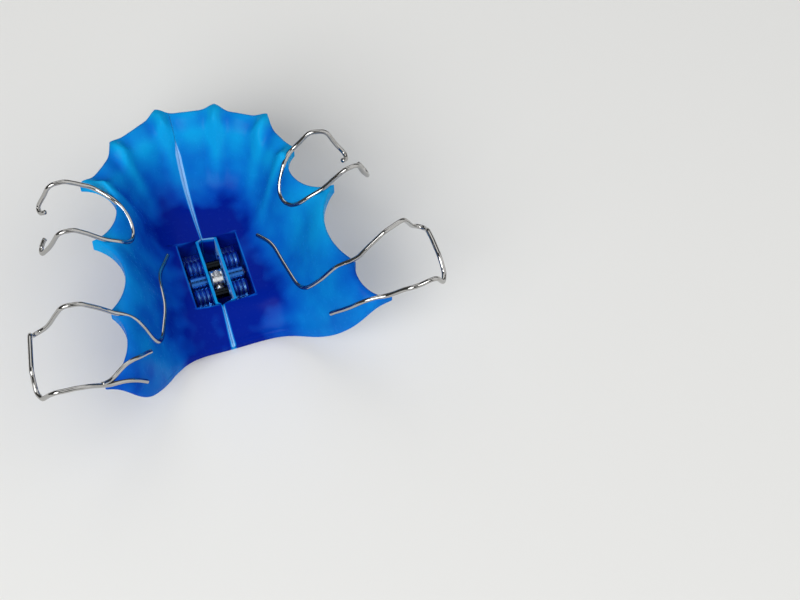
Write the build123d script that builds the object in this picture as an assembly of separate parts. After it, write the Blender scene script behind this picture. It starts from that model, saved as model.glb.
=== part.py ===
from build123d import *
import os
from math import copysign, cos, exp, hypot, radians, sin, tan

# Removable palatal expander: an acrylic plate split along the middle, an expansion screw across the
# split, and steel wire clasps. All sizes are in millimetres. The origin is the middle of the spindle,
# +X runs along the spindle to the right half, +Y to the front teeth and +Z away from the palate.

# Plate: heights above the spindle, the arch that it fills, and the roll of acrylic along the teeth
EDGE_HEIGHT = 11.3
FLOOR_HEIGHT = 2.0
PALATE_DEPTH = 2.2
EDGE_WALL = 2.0
ARCH_HALF_WIDTH = 14.3
ARCH_CENTRE_X = 0.45
FRONT_START_Y = 3.4
FRONT_REACH = 15.5
FLARE_START_Y = -8.6
FLARE_LENGTH = 8.0
MOLAR_FLARE = 2.3
COLLAR_WIDTH = 2.8
REAR_EDGE_Y = -9.05
REAR_SHOULDER_X = 6.0
LEFT_SHOULDER_BACK = 1.05
RIGHT_SHOULDER_BACK = 0.65
REAR_WALL = 1.2
REAR_TAPER = 2.6
KERF = 0.5
KERF_X = -0.5

# Exponents of the arch in plan and of the two sides' rise from the middle to the edge
ARCH_POWER = 2.2
POLISHED_POWER = 3.2
PALATE_POWER = 2.9

# Points of the edge between two teeth. Along the sides: side, y and share of the arch's half width.
# Round the front: angle in degrees from +X and share of the arch's reach.
LEFT_MOLAR_REAR = (-1, -17.5, 1.0)
LEFT_MOLAR_FRONT = (-1, -8.4, 1.0)
LEFT_PREMOLAR_REAR = (-1, 1.8, 0.99)
LEFT_PREMOLAR_FRONT = (155.5, 1.036)
FRONT_GAPS = ((127.3, 0.97), (97.9, 1.01), (71.7, 0.96), (43.0, 0.976))
RIGHT_PREMOLAR_FRONT = (17.5, 0.884)
RIGHT_PREMOLAR_REAR = (1, 1.2, 1.05)
RIGHT_MOLAR_FRONT = (1, -10.3, 0.98)
RIGHT_MOLAR_REAR = (1, -15.8, 1.035)

# How far each tooth bulges into the plate, from the left molar round to the right molar
TOOTH_BULGES = (2.2, 2.7, 3.6, 1.1, 0.5, 0.8, 0.7, 0.6, 2.9, 2.3, 1.5)

# The rounded lobes of the plate behind the molars, measured from the molars' rear points
LOBE_INSET = 3.2
LEFT_LOBE_BACK = 0.35
RIGHT_LOBE_BACK = 0.25

# Expansion screw
SPINDLE_DIAMETER = 1.3
SPINDLE_LENGTH = 6.9
HEAD_DIAMETER = 2.4
HEAD_LENGTH = 1.5
KEY_HOLE_DIAMETER = 0.9
PIN_DIAMETER = 1.1
PIN_LENGTH = 6.2
PIN_SPACING = 4.3
RUNNING_CLEARANCE = 0.03
END_CHAMFER = 0.12
BODY_WIDTH = 9.3
BODY_DEPTH = 2.35
BODY_GAP = 1.7
BASE_THICKNESS = 0.8
BARREL_DIAMETER = 2.3
MIDDLE_BARREL_DIAMETER = 1.9
RIB_COUNT = 5
RIB_HEIGHT = 0.14
SLOT_WIDTH = 2.0
SLOT_END_CLEARANCE = 0.2
HEAD_CLEARANCE = 0.3
SPINDLE_RELIEF = 0.2

# Clasp wire: diameter, how deep it lies in the acrylic, its bends, and the share of a straight run that
# a bend may take up
WIRE_DIAMETER = 0.55
TAG_DEPTH = 0.4
LOOP_DEPTH = 0.3
TAG_BEND = 2.5
CROSSING_BEND = 1.2
HOOK_BEND = 0.6
BEND_SHARE = 0.45

# Places of the molar clasps' tags on the plate, in plan, from the tag's end to the edge
LEFT_MOLAR_TAG = ((-5.0, 3.5), (-6.9, 0.2), (-7.3, -5.2), (-9.4, -11.6), (-10.9, -10.2), (-12.7, -9.3))
RIGHT_MOLAR_TAG = ((6.0, 3.1), (7.4, 0.8), (8.5, -7.4), (11.2, -9.7), (12.8, -10.2))

# The short tags behind the molars, measured inwards and backwards from the molars' rear points
LEFT_REAR_TAG = ((1.3, 0.0), (2.9, -0.25), (4.8, -1.1))
RIGHT_REAR_TAG = ((1.2, -0.3), (2.9, -0.4), (4.8, -1.4), (6.5, -3.2))

# Molar clasps outside the plate: outwards, backwards and above the edge, measured from the front point
# up to the bridge and from the rear point after it
LEFT_MOLAR_CROSSING = ((0.4, 0.8, 1.2), (3.2, 1.2, 4.2), (5.2, 1.0, 4.2))
LEFT_MOLAR_HOOK = ((8.0, 0.0, -1.0), (9.2, 0.4, -1.0), (9.3, 1.7, 1.8))
RIGHT_MOLAR_CROSSING = ((0.2, 0.5, 1.2), (3.4, 0.2, 4.1), (6.0, -0.8, 4.2))
RIGHT_MOLAR_HOOK = ((8.2, -2.9, -0.8), (9.2, -2.2, -0.8), (8.9, -0.8, 1.3))
LEFT_BRIDGE_END = ((7.3, -2.4, 1.8), (7.4, -0.8, -0.4), (6.9, 0.4, -0.2), (5.5, 1.2, 2.2))
RIGHT_BRIDGE_END = ((6.4, -2.3, 1.3), (6.5, -0.7, -0.4), (6.0, 0.5, -0.2), (4.8, 1.3, 2.0))
MOLAR_REAR_ARM = ((1.9, 1.2, 1.5),)

# Front clasps: the loop's places on the plate in plan, and its arms outside the plate, measured from
# the tooth's front point and rear point
LEFT_LOOP = ((-11.6, 8.9), (-9.6, 6.6), (-8.4, 4.3), (-8.8, 2.2), (-10.3, 1.0))
RIGHT_LOOP = ((11.7, 7.2), (10.5, 5.6), (9.2, 4.0), (9.5, 2.1), (11.0, 0.5))
LEFT_FRONT_ARM = ((4.7, 3.2, 0.5), (5.3, 2.9, -1.0), (5.5, 1.7, -1.0), (3.7, 1.6, 2.7), (1.8, 1.6, 2.7))
LEFT_REAR_ARM = ((1.7, 0.5, 3.3), (3.4, 0.4, 3.3), (5.9, -0.4, -1.4), (5.7, -1.6, -1.4), (5.0, -1.8, 0.3))
RIGHT_FRONT_ARM = ((4.8, 3.9, 0.5), (5.5, 3.5, -1.0), (5.6, 2.3, -1.0), (3.7, 1.1, 2.7), (1.8, 0.7, 2.7))
RIGHT_REAR_ARM = ((1.2, 0.9, 3.1), (2.8, 0.6, 3.1), (4.4, -0.5, -1.4), (4.2, -1.7, -1.4), (3.5, -1.9, 0.3))

# Spur behind the left molar: its places on the plate in plan, on the way in from the clasp's rear arm
LEFT_SPUR = ((-15.2, -16.7), (-13.9, -15.7), (-12.2, -14.9), (-10.6, -13.0))

# Spacing of the plate's cross-sections and of the points along each, and how far they pass the outline
SECTION_STEP = 2.0
SECTION_MARGIN = 1.5

# Number of short runs that the rear edge is measured by
REAR_RUNS = 60


def half_width(y):
    """Half the arch's width, which opens out beside the molars."""
    return ARCH_HALF_WIDTH + MOLAR_FLARE * (max(0.0, FLARE_START_Y - y) / FLARE_LENGTH) ** 2


def arch_share(x, y):
    """Distance from the arch's middle line as a share of the way to its edge."""
    across = abs(x - ARCH_CENTRE_X) / half_width(y)
    forward = max(0.0, y - FRONT_START_Y) / FRONT_REACH
    return (across**ARCH_POWER + forward**ARCH_POWER) ** (1 / ARCH_POWER)


def side_point(side, y, share):
    """Point of the edge on one side of the arch."""
    return Vector(ARCH_CENTRE_X + side * half_width(y) * share, y)


def front_point(angle, share):
    """Point of the edge round the front of the arch."""
    across, forward = cos(radians(angle)), sin(radians(angle))
    x = copysign(abs(across) ** (2 / ARCH_POWER), across)
    y = forward ** (2 / ARCH_POWER)
    return Vector(ARCH_CENTRE_X + ARCH_HALF_WIDTH * share * x, FRONT_START_Y + FRONT_REACH * share * y)


LEFT_POINTS = [
    side_point(*LEFT_MOLAR_REAR),
    side_point(*LEFT_MOLAR_FRONT),
    side_point(*LEFT_PREMOLAR_REAR),
    front_point(*LEFT_PREMOLAR_FRONT),
]
RIGHT_POINTS = [
    front_point(*RIGHT_PREMOLAR_FRONT),
    side_point(*RIGHT_PREMOLAR_REAR),
    side_point(*RIGHT_MOLAR_FRONT),
    side_point(*RIGHT_MOLAR_REAR),
]
EDGE_POINTS = LEFT_POINTS + [front_point(*gap) for gap in FRONT_GAPS] + RIGHT_POINTS


def tooth_circle(start, end, bulge):
    """Centre and radius of the tooth that bulges into the plate between two points of the edge."""
    chord = end - start
    radius = (chord.length**2 / 4 + bulge**2) / (2 * bulge)
    inward = Vector(chord.Y, -chord.X).normalized()
    return (start + end) / 2 + inward * (bulge - radius), radius


TEETH = [tooth_circle(*spans) for spans in zip(EDGE_POINTS, EDGE_POINTS[1:], TOOTH_BULGES)]


def collar(x, y):
    """1 at a tooth, falling off smoothly to 0 away from the teeth."""
    free = 1.0
    for centre, radius in TEETH:
        distance = max(0.0, hypot(x - centre.X, y - centre.Y) - radius)
        free *= 1 - exp(-((distance / COLLAR_WIDTH) ** 2))
    return 1 - free


def vault_height(x, y, floor, edge, power):
    """Vault that rises from its floor to the arch's edge, with a roll up to that edge at each tooth."""
    vault = floor + (edge - floor) * arch_share(x, y) ** power
    return vault + (edge - vault) * collar(x, y)


def palate_height(x, y):
    """Height of the fitting side, which lies on the palate."""
    return vault_height(x, y, -PALATE_DEPTH, EDGE_HEIGHT - EDGE_WALL, PALATE_POWER)


def rear_edge():
    """Rear edge of the plate in plan, from the right molar over two lobes and shoulders to the left one."""
    left, right = EDGE_POINTS[0], EDGE_POINTS[-1]
    left_lobe = left + Vector(LOBE_INSET, -LEFT_LOBE_BACK)
    right_lobe = right + Vector(-LOBE_INSET, -RIGHT_LOBE_BACK)
    right_shoulder = Vector(REAR_SHOULDER_X, REAR_EDGE_Y - RIGHT_SHOULDER_BACK)
    left_shoulder = Vector(-REAR_SHOULDER_X, REAR_EDGE_Y - LEFT_SHOULDER_BACK)
    middle = Vector(0, REAR_EDGE_Y)
    return Spline(right, right_lobe, right_shoulder, middle, left_shoulder, left_lobe, left)


REAR_LINE = [rear_edge() @ (run / REAR_RUNS) for run in range(REAR_RUNS + 1)]


def rear_y(x):
    """y of the rear edge at x."""
    for right, left in zip(REAR_LINE, REAR_LINE[1:]):
        if left.X <= x <= right.X:
            return left.Y + (right.Y - left.Y) * (x - left.X) / (right.X - left.X)
    return EDGE_POINTS[0].Y if x < 0 else EDGE_POINTS[-1].Y


def polished_height(x, y):
    """Height of the polished side, towards the tongue, which tapers to a thin rear edge."""
    vault = vault_height(x, y, FLOOR_HEIGHT, EDGE_HEIGHT, POLISHED_POWER)
    thin = palate_height(x, y) + REAR_WALL
    before_rear = max(0.0, y - rear_y(x))
    return vault + (thin - vault) * exp(-((before_rear / REAR_TAPER) ** 2))


def plate_outline():
    """Edge of the plate in plan: an arc round each tooth, and the rear edge."""
    arcs = []
    for start, end, bulge in zip(EDGE_POINTS, EDGE_POINTS[1:], TOOTH_BULGES):
        chord = end - start
        inward = Vector(chord.Y, -chord.X).normalized()
        arcs.append(ThreePointArc(start, (start + end) / 2 + inward * bulge, end))
    return make_face(arcs + [rear_edge()])


def stations(low, high):
    """Evenly spaced values from a little below low to a little above high."""
    start, length = low - SECTION_MARGIN, high - low + 2 * SECTION_MARGIN
    count = round(length / SECTION_STEP)
    return [start + length * i / count for i in range(count + 1)]


def vault_slab():
    """Acrylic between the polished side and the fitting side, lofted through cross-sections."""
    box = plate_outline().bounding_box()
    xs = stations(box.min.X, box.max.X)
    sections = []
    for y in stations(box.min.Y, box.max.Y):
        polished = Spline(*[Vector(x, y, polished_height(x, y)) for x in xs])
        palate = Spline(*[Vector(x, y, palate_height(x, y)) for x in xs])
        left_side = Line(palate @ 0, polished @ 0)
        right_side = Line(polished @ 1, palate @ 1)
        sections.append(make_face([polished, right_side, palate, left_side]))
    return loft(sections)


def body_outer():
    """Outside of the right screw body: two barrels for the pins, one for the spindle, and a base."""
    inner_x = BODY_GAP / 2
    middle_x = inner_x + BODY_DEPTH / 2
    base_z = -BARREL_DIAMETER / 2 + BASE_THICKNESS / 2
    base = Pos(middle_x, 0, base_z) * Box(BODY_DEPTH, BODY_WIDTH, BASE_THICKNESS)
    web = Pos(middle_x, 0, base_z / 2) * Box(BODY_DEPTH, PIN_SPACING, -base_z)
    middle = Pos(inner_x, 0, 0) * along_x(MIDDLE_BARREL_DIAMETER, BODY_DEPTH)
    return base + web + middle


def along_x(diameter, length):
    """Cylinder from the origin along +X."""
    return extrude(Plane.YZ * Circle(diameter / 2), amount=length)


def ribbed_barrel():
    """Guide barrel with V-shaped ribs round it, from the origin along +X."""
    top, root = BARREL_DIAMETER / 2, BARREL_DIAMETER / 2 - RIB_HEIGHT
    pitch = BODY_DEPTH / RIB_COUNT
    profile = [(0, 0), (0, root)]
    for rib in range(RIB_COUNT):
        profile += [((rib + 0.5) * pitch, top), ((rib + 1) * pitch, root)]
    profile += [(BODY_DEPTH, 0)]
    return revolve(make_face(Polyline(profile, close=True)), Axis.X)


def at_pins(shape):
    """The shape at both guide pins."""
    return [Pos(0, y, 0) * shape for y in (-PIN_SPACING / 2, PIN_SPACING / 2)]


def screw_body():
    """Right screw body with its bores for the spindle and the pins."""
    inner_x = BODY_GAP / 2
    body = body_outer() + at_pins(Pos(inner_x, 0, 0) * ribbed_barrel())
    spindle_bore = along_x(SPINDLE_DIAMETER + 2 * RUNNING_CLEARANCE, inner_x + BODY_DEPTH)
    pin_bore = along_x(PIN_DIAMETER + 2 * RUNNING_CLEARANCE, inner_x + BODY_DEPTH)
    return body - spindle_bore - at_pins(pin_bore)


def screw_pocket():
    """Room for the right screw body, for the spindle's end and for the slot over the spindle."""
    inner_x = BODY_GAP / 2
    barrel = Pos(inner_x, 0, 0) * along_x(BARREL_DIAMETER, BODY_DEPTH)
    relief_length = SPINDLE_LENGTH / 2 + SPINDLE_RELIEF
    relief = along_x(SPINDLE_DIAMETER + 2 * SPINDLE_RELIEF, relief_length)
    slot_bottom = -HEAD_DIAMETER / 2 - HEAD_CLEARANCE
    slot_length = BODY_WIDTH + 2 * SLOT_END_CLEARANCE
    slot = Pos(0, 0, slot_bottom) * Box(
        SLOT_WIDTH, slot_length, EDGE_HEIGHT, align=(Align.CENTER, Align.CENTER, Align.MIN)
    )
    return body_outer() + at_pins(barrel) + relief + slot


def spindle():
    """Spindle with a middle head that two crossed key holes go through."""
    end = chamfered_rod(SPINDLE_DIAMETER, SPINDLE_LENGTH)
    head = chamfered_rod(HEAD_DIAMETER, HEAD_LENGTH)
    hole = Cylinder(KEY_HOLE_DIAMETER / 2, 2 * HEAD_DIAMETER)
    return end + head - hole - Rot(90, 0, 0) * hole


def chamfered_rod(diameter, length):
    """Round rod along X about the origin, with both ends chamfered."""
    rod = Pos(-length / 2, 0, 0) * along_x(diameter, length)
    return chamfer(rod.edges().filter_by(GeomType.CIRCLE), END_CHAMFER)


def on_plate(x, y, depth):
    """Point of a wire's axis where the wire lies in the polished side to the given depth."""
    return Vector(x, y, polished_height(x, y) + WIRE_DIAMETER / 2 - depth)


def beside(point, side, offsets):
    """Points outwards, backwards and above the edge, measured from a point of the edge."""
    return [Vector(point.X + side * out, point.Y - back, EDGE_HEIGHT + rise) for out, back, rise in offsets]


def bend_radii(points, bends):
    """Radius at each corner: the bend asked for, or what the two runs beside it leave room for."""
    radii = []
    for before, corner, after, bend in zip(points, points[1:], points[2:], bends):
        first, second = corner - before, after - corner
        half_turn = radians(first.get_angle(second)) / 2
        room = BEND_SHARE * min(first.length, second.length) / tan(half_turn)
        radii.append(min(bend, room))
    return radii


def bent_wire(runs):
    """Round wire along runs of points, each run with the bend at its points."""
    points = [point for run, bend in runs for point in run]
    bends = [bend for run, bend in runs for point in run][1:-1]
    path = FilletPolyline(*points, radius=bend_radii(points, bends))
    section = Plane(origin=path @ 0, z_dir=path % 0) * Circle(WIRE_DIAMETER / 2)
    return sweep(section, path=path)


def rear_tag_points(side, rear, rear_tag):
    """Points of a short tag behind a molar."""
    return [on_plate(rear.X - side * inwards, rear.Y - back, TAG_DEPTH) for inwards, back in rear_tag]


def molar_clasp(side, front, rear, tag, crossing, hook, bridge_end, rear_tag):
    """Clasp round a molar: tag in the plate, arm over the gap in front, hook, bridge, hook and rear tag."""
    return bent_wire(
        [
            ([on_plate(x, y, TAG_DEPTH) for x, y in tag], TAG_BEND),
            (beside(front, side, crossing), CROSSING_BEND),
            (beside(front, side, hook), HOOK_BEND),
            (beside(rear, side, bridge_end), HOOK_BEND),
            (beside(rear, side, MOLAR_REAR_ARM), CROSSING_BEND),
            (rear_tag_points(side, rear, rear_tag), TAG_BEND),
        ]
    )


def front_clasp(side, front, rear, front_arm, loop, rear_arm):
    """Clasp on a premolar: a hook at each end, and a loop on the plate between its two arms."""
    return bent_wire(
        [
            (beside(front, side, front_arm[:3]), HOOK_BEND),
            (beside(front, side, front_arm[3:]), CROSSING_BEND),
            ([on_plate(x, y, LOOP_DEPTH) for x, y in loop], TAG_BEND),
            (beside(rear, side, rear_arm[:2]), CROSSING_BEND),
            (beside(rear, side, rear_arm[2:]), HOOK_BEND),
        ]
    )


def left_spur(clasp):
    """Short wire that is joined to the clasp's rear arm and runs past the left molar into the plate."""
    arm = beside(LEFT_POINTS[0], -1, MOLAR_REAR_ARM)[-1]
    joined = (arm + rear_tag_points(-1, LEFT_POINTS[0], LEFT_REAR_TAG)[0]) / 2
    places = [on_plate(x, y, TAG_DEPTH) for x, y in LEFT_SPUR]
    return bent_wire([([joined] + places, TAG_BEND)]) - clasp


def plate_half(whole, side, wires):
    """One half of the plate, with the seats of its wires."""
    half_box = Pos(KERF_X + side * KERF / 2, 0, 0) * Box(
        3 * ARCH_HALF_WIDTH,
        5 * FRONT_REACH,
        5 * EDGE_HEIGHT,
        align=(Align.MIN if side > 0 else Align.MAX, Align.CENTER, Align.CENTER),
    )
    half = whole & half_box
    for wire in wires:
        half = half - wire
    return half


def mirrored(shape):
    """The same shape on the left."""
    return mirror(shape, about=Plane.YZ)


def build():
    """All pieces by node name."""
    left_molar = molar_clasp(
        -1, LEFT_POINTS[1], LEFT_POINTS[0], LEFT_MOLAR_TAG, LEFT_MOLAR_CROSSING, LEFT_MOLAR_HOOK,
        LEFT_BRIDGE_END, LEFT_REAR_TAG,
    )
    right_molar = molar_clasp(
        1, RIGHT_POINTS[2], RIGHT_POINTS[3], RIGHT_MOLAR_TAG, RIGHT_MOLAR_CROSSING, RIGHT_MOLAR_HOOK,
        RIGHT_BRIDGE_END, RIGHT_REAR_TAG,
    )
    left_front = front_clasp(
        -1, LEFT_POINTS[3], LEFT_POINTS[2], LEFT_FRONT_ARM, LEFT_LOOP, LEFT_REAR_ARM
    )
    right_front = front_clasp(
        1, RIGHT_POINTS[0], RIGHT_POINTS[1], RIGHT_FRONT_ARM, RIGHT_LOOP, RIGHT_REAR_ARM
    )
    spur = left_spur(left_molar)

    prism = extrude(plate_outline(), amount=2 * EDGE_HEIGHT, both=True)
    pocket = screw_pocket()
    whole = (vault_slab() & prism) - pocket - mirrored(pocket)

    body = screw_body()
    pin = chamfered_rod(PIN_DIAMETER, PIN_LENGTH)
    rear_pin, front_pin = at_pins(pin)
    return {
        "left_plate": plate_half(whole, -1, [left_molar, left_front, spur]),
        "right_plate": plate_half(whole, 1, [right_molar, right_front]),
        "left_screw_body": mirrored(body),
        "right_screw_body": body,
        "spindle": spindle(),
        "front_guide_pin": front_pin,
        "rear_guide_pin": rear_pin,
        "left_molar_clasp": left_molar,
        "right_molar_clasp": right_molar,
        "left_front_clasp": left_front,
        "right_front_clasp": right_front,
        "left_spur": spur,
    }


os.makedirs("parts", exist_ok=True)
for name, piece in build().items():
    export_step(piece, f"parts/{name}.step")
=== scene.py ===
import math

import bmesh
import bpy
import numpy as np
from bpy.props import FloatProperty, FloatVectorProperty, PointerProperty
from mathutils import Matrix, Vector


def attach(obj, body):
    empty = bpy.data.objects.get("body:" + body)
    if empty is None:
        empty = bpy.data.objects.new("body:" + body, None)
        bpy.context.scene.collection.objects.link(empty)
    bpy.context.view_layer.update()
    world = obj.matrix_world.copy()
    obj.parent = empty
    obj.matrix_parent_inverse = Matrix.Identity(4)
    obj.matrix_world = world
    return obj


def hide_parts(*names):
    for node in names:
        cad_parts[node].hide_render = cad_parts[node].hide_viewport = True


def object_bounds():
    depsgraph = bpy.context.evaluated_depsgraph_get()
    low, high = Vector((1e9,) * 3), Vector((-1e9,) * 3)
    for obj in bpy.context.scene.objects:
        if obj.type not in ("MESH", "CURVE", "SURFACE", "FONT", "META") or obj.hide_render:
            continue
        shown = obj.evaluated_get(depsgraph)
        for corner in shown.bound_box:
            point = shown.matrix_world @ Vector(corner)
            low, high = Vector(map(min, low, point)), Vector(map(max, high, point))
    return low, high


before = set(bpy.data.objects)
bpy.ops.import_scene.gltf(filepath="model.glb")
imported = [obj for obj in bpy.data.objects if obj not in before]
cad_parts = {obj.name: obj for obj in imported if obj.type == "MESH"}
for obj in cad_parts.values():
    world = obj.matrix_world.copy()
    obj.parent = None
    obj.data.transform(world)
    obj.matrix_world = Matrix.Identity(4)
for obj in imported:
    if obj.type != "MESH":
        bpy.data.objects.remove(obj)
CAD_BOX = [list(corner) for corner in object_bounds()]

bl_info = {
    "name": "Palatal expander",
    "version": (1, 0, 0),
    "blender": (4, 5, 0),
    "location": "View3D > Sidebar > Expander",
    "description": "Acrylic plate, clasp wires and expansion screw of a removable palatal expander",
    "category": "Object",
}

MM = 0.001

# The arch that the plate fills: half width, middle, start and reach of the front, and the flare
# at the rear
ARCH_HALF_WIDTH = 14.3 * MM
ARCH_CENTRE_X = 0.45 * MM
FRONT_START_Y = 3.4 * MM
FRONT_REACH = 15.5 * MM
FLARE_START_Y = -8.6 * MM
FLARE_LENGTH = 8.0 * MM
REAR_FLARE = 2.3 * MM

# Powers of the arch's outline, and of the vault on the polished side and on the fitting side
ARCH_POWER = 2.2
POLISHED_POWER = 3.2
PALATE_POWER = 2.9

# Points of the edge between two scallops: side, y in millimetres and share of the half width along
# the sides; angle in degrees and share of the reach round the front; and how far each scallop
# bulges into the plate
LEFT_SIDE = ((-1, -17.5, 1.0), (-1, -8.4, 1.0), (-1, 1.8, 0.99))
FRONT = ((155.5, 1.036), (127.3, 0.97), (97.9, 1.01), (71.7, 0.96), (43.0, 0.976), (17.5, 0.884))
RIGHT_SIDE = ((1, 1.2, 1.05), (1, -10.3, 0.98), (1, -15.8, 1.035))
SCALLOP_BULGES = MM * np.array((2.2, 2.7, 3.6, 1.1, 0.5, 0.8, 0.7, 0.6, 2.9, 2.3, 1.5))

# Scallops along the side and front of each half, counted from the left rear; the kerf cuts one
# that both fronts share
LEFT_SIDE_SCALLOPS, LEFT_FRONT_SCALLOPS = slice(0, 4), slice(4, 6)
RIGHT_SIDE_SCALLOPS, RIGHT_FRONT_SCALLOPS = slice(7, None), slice(5, 7)

# The rear edge: its middle between two shoulders, and lobes inwards of and behind the scalloped
# edge's ends
REAR_MIDDLE = MM * np.array(((6.0, -9.7), (0.0, -9.05), (-6.0, -10.1)))
RIGHT_LOBE = MM * np.array((-3.2, -0.25))
LEFT_LOBE = MM * np.array((3.2, -0.35))

# Folds behind the front scallops start at these points of the edge and run to a place near the
# screw, and swags hang below these scallops
FOLD_POINTS = slice(3, 9)
SWAG_SCALLOPS = slice(3, 8)
FOLD_AIM = MM * np.array((0.45, 1.0))

# Grid of a half: points across and along, the power that crowds them towards the scallops, and how
# much they crowd towards both ends
ACROSS_POINTS, ALONG_POINTS = 124, 330
CROWDING_POWER = 1.25
END_CROWDING = 0.5

# Rows of faces in a pocket's walls, the bevel, the sawn wall, the slot's floor and the wall below
POCKET_STEPS, BEVEL_STEPS, SAWN_STEPS, FLOOR_STEPS, FOOT_STEPS = 4, 3, 5, 4, 2

# Width beside the kerf over which a pocket pushes the polished side's grid together, length of the
# slot's ends, and height of the sawn wall's foot as a share of the way up from the fitting side
PUSHED_WIDTH = 4.8 * MM
SLOT_EASE = 0.3 * MM
FOOT_SHARE = 0.25

# Ways over which the bevels along the kerf spread from the screw's slot and close at their front
KERF_SPREAD = 8.0 * MM
KERF_CLOSING = 0.8 * MM

# Where the acrylic looks deep: middle and half width across, reach forwards of the screw, and the
# powers of both falls; the pigment's share all over, and how much paler a fold's ridge is painted
# as painted highlight and how much deeper its trough as painted shade
DEEP_MIDDLE = -0.5 * MM
DEEP_HALF_WIDTH = 9.2 * MM
DEEP_FORWARD = 13.2 * MM
ACROSS_FALL, FORWARD_FALL = 2.6, 5
PIGMENT = 0.14
FOLD_LIGHT_AND_SHADE = 0.45

# Painted shade darkens the rear lobes too: where it starts outwards and backwards, the way to its
# full share, and that share
LOBE_OUT = 9.0 * MM
LOBE_BACK = -4.5 * MM
LOBE_WAY = 5.0 * MM
LOBE_SHADE = 0.5

# Painted highlights, bright lines along the saw cut and round the pockets: widths, and what is left
# of the deep colour round a pocket; and margins of the slot, along and across, in which all below
# the bevels takes the deep colour as painted shade
CUT_HIGHLIGHT = 0.12 * MM
POCKET_HIGHLIGHT, POCKET_HIGHLIGHT_SHARE = 0.15 * MM, 0.72
SLOT_MARGINS = MM * np.array((0.2, 0.1))

# Steps in which the acrylic's colour is worked out from thin to deep, and the least of a channel
DEPTH_STEPS = 9
DARKEST = 1e-4

# Wires, in millimetres: places on the plate in plan, places inwards of and behind the edge's end
# for the rear tags, and points outwards, backwards and above the edge
LEFT_MOLAR_TAG = (
    (-5.0, 3.5), (-6.9, 0.2), (-7.3, -5.2), (-9.4, -11.6), (-10.9, -10.2), (-12.7, -9.3),
)
RIGHT_MOLAR_TAG = ((6.0, 3.1), (7.4, 0.8), (8.5, -7.4), (11.2, -9.7), (12.8, -10.2))
LEFT_REAR_TAG = ((1.3, 0.0), (2.9, -0.25), (4.8, -1.1))
RIGHT_REAR_TAG = ((1.2, -0.3), (2.9, -0.4), (4.8, -1.4), (6.5, -3.2))
LEFT_MOLAR_CROSSING = ((0.4, 0.8, 1.2), (3.2, 1.2, 4.2), (5.2, 1.0, 4.2))
LEFT_MOLAR_HOOK = ((8.0, 0.0, -1.0), (9.2, 0.4, -1.0), (9.3, 1.7, 1.8))
RIGHT_MOLAR_CROSSING = ((0.2, 0.5, 1.2), (3.4, 0.2, 4.1), (6.0, -0.8, 4.2))
RIGHT_MOLAR_HOOK = ((8.2, -2.9, -0.8), (9.2, -2.2, -0.8), (8.9, -0.8, 1.3))
LEFT_BRIDGE_END = ((7.3, -2.4, 1.8), (7.4, -0.8, -0.4), (6.9, 0.4, -0.2), (5.5, 1.2, 2.2))
RIGHT_BRIDGE_END = ((6.4, -2.3, 1.3), (6.5, -0.7, -0.4), (6.0, 0.5, -0.2), (4.8, 1.3, 2.0))
MOLAR_REAR_ARM = ((1.9, 1.2, 1.5),)
LEFT_LOOP = ((-11.6, 8.9), (-9.6, 6.6), (-8.4, 4.3), (-8.8, 2.2), (-10.3, 1.0))
RIGHT_LOOP = ((11.7, 7.2), (10.5, 5.6), (9.2, 4.0), (9.5, 2.1), (11.0, 0.5))
LEFT_FRONT_ARM = (
    (4.7, 3.2, 0.5), (5.3, 2.9, -1.0), (5.5, 1.7, -1.0), (3.7, 1.6, 2.7), (1.8, 1.6, 2.7),
)
LEFT_REAR_ARM = (
    (1.7, 0.5, 3.3), (3.4, 0.4, 3.3), (5.9, -0.4, -1.4), (5.7, -1.6, -1.4), (5.0, -1.8, 0.3),
)
RIGHT_FRONT_ARM = (
    (4.8, 3.9, 0.5), (5.5, 3.5, -1.0), (5.6, 2.3, -1.0), (3.7, 1.1, 2.7), (1.8, 0.7, 2.7),
)
RIGHT_REAR_ARM = (
    (1.2, 0.9, 3.1), (2.8, 0.6, 3.1), (4.4, -0.5, -1.4), (4.2, -1.7, -1.4), (3.5, -1.9, 0.3),
)
LEFT_SPUR = ((-15.2, -16.7), (-13.9, -15.7), (-12.2, -14.9), (-10.6, -13.0))

# Points of a front clasp's front arm that make its hook, and of its rear arm before the hook
FRONT_HOOK, REAR_CROSSING = 3, 2

# Share of the shorter run beside a corner that the corner's arc may take up, and points of an arc
BEND_SHARE = 0.45
ARC_POINTS = 13

# Distance between a wire's rings, faces round it, rings of a domed end, and a direction that no
# wire runs along, from which the rings' own axes are worked out
WIRE_STEP = 0.125 * MM
WIRE_AROUND = 24
DOME_RINGS = 6
RING_HELPER = (0.29, 0.62, 0.73)

# Points on each side over which a wire that lies in the plate is averaged, and all of it at the end
SETTLE_REACH = 10
SMOOTH_REACH = 2

# Grid of the spindle: points along a threaded end, along the head and round it
THREAD_POINTS, HEAD_POINTS, SPINDLE_AROUND = 180, 70, 97

# Mouths of the key holes: width of the edge, and depth as a share of the head's radius
MOUTH_EASE = 0.06 * MM
MOUTH_DEPTH = 0.6

# Points nearer than this are joined, and edges sharper than this stay sharp
MERGE_DISTANCE = 0.0005 * MM
SHARP_ANGLE = math.radians(38)

# Finishes of the acrylic: least and most roughness, length and height of the surface's waves; and
# the place of the sawn finish among the plate's materials
POLISHED = ((0.2, 0.32), 3.0 * MM, 0.04 * MM)
MOULDED = ((0.35, 0.5), 0.8 * MM, 0.05 * MM)
SAWN = 2
METHACRYLATE_IOR = 1.49

# Least and most roughness of the metals
WIRE_GLOSS = (0.06, 0.14)
STEEL_GLOSS = (0.16, 0.3)
BODY_GLOSS = (0.2, 0.32)

# Pigment clouds and their share of the deep colour, polishing haze, and where the colour of the
# screw bodies changes from the painted shade of the middle barrels to the painted highlight of the
# outer ones
CLOUD_SIZE, CLOUD_SHARE = 5.0 * MM, 0.2
HAZE_SIZE = 0.6 * MM
MIDDLE_BARREL, OUTER_BARREL = 0.8 * MM, 1.2 * MM

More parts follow.
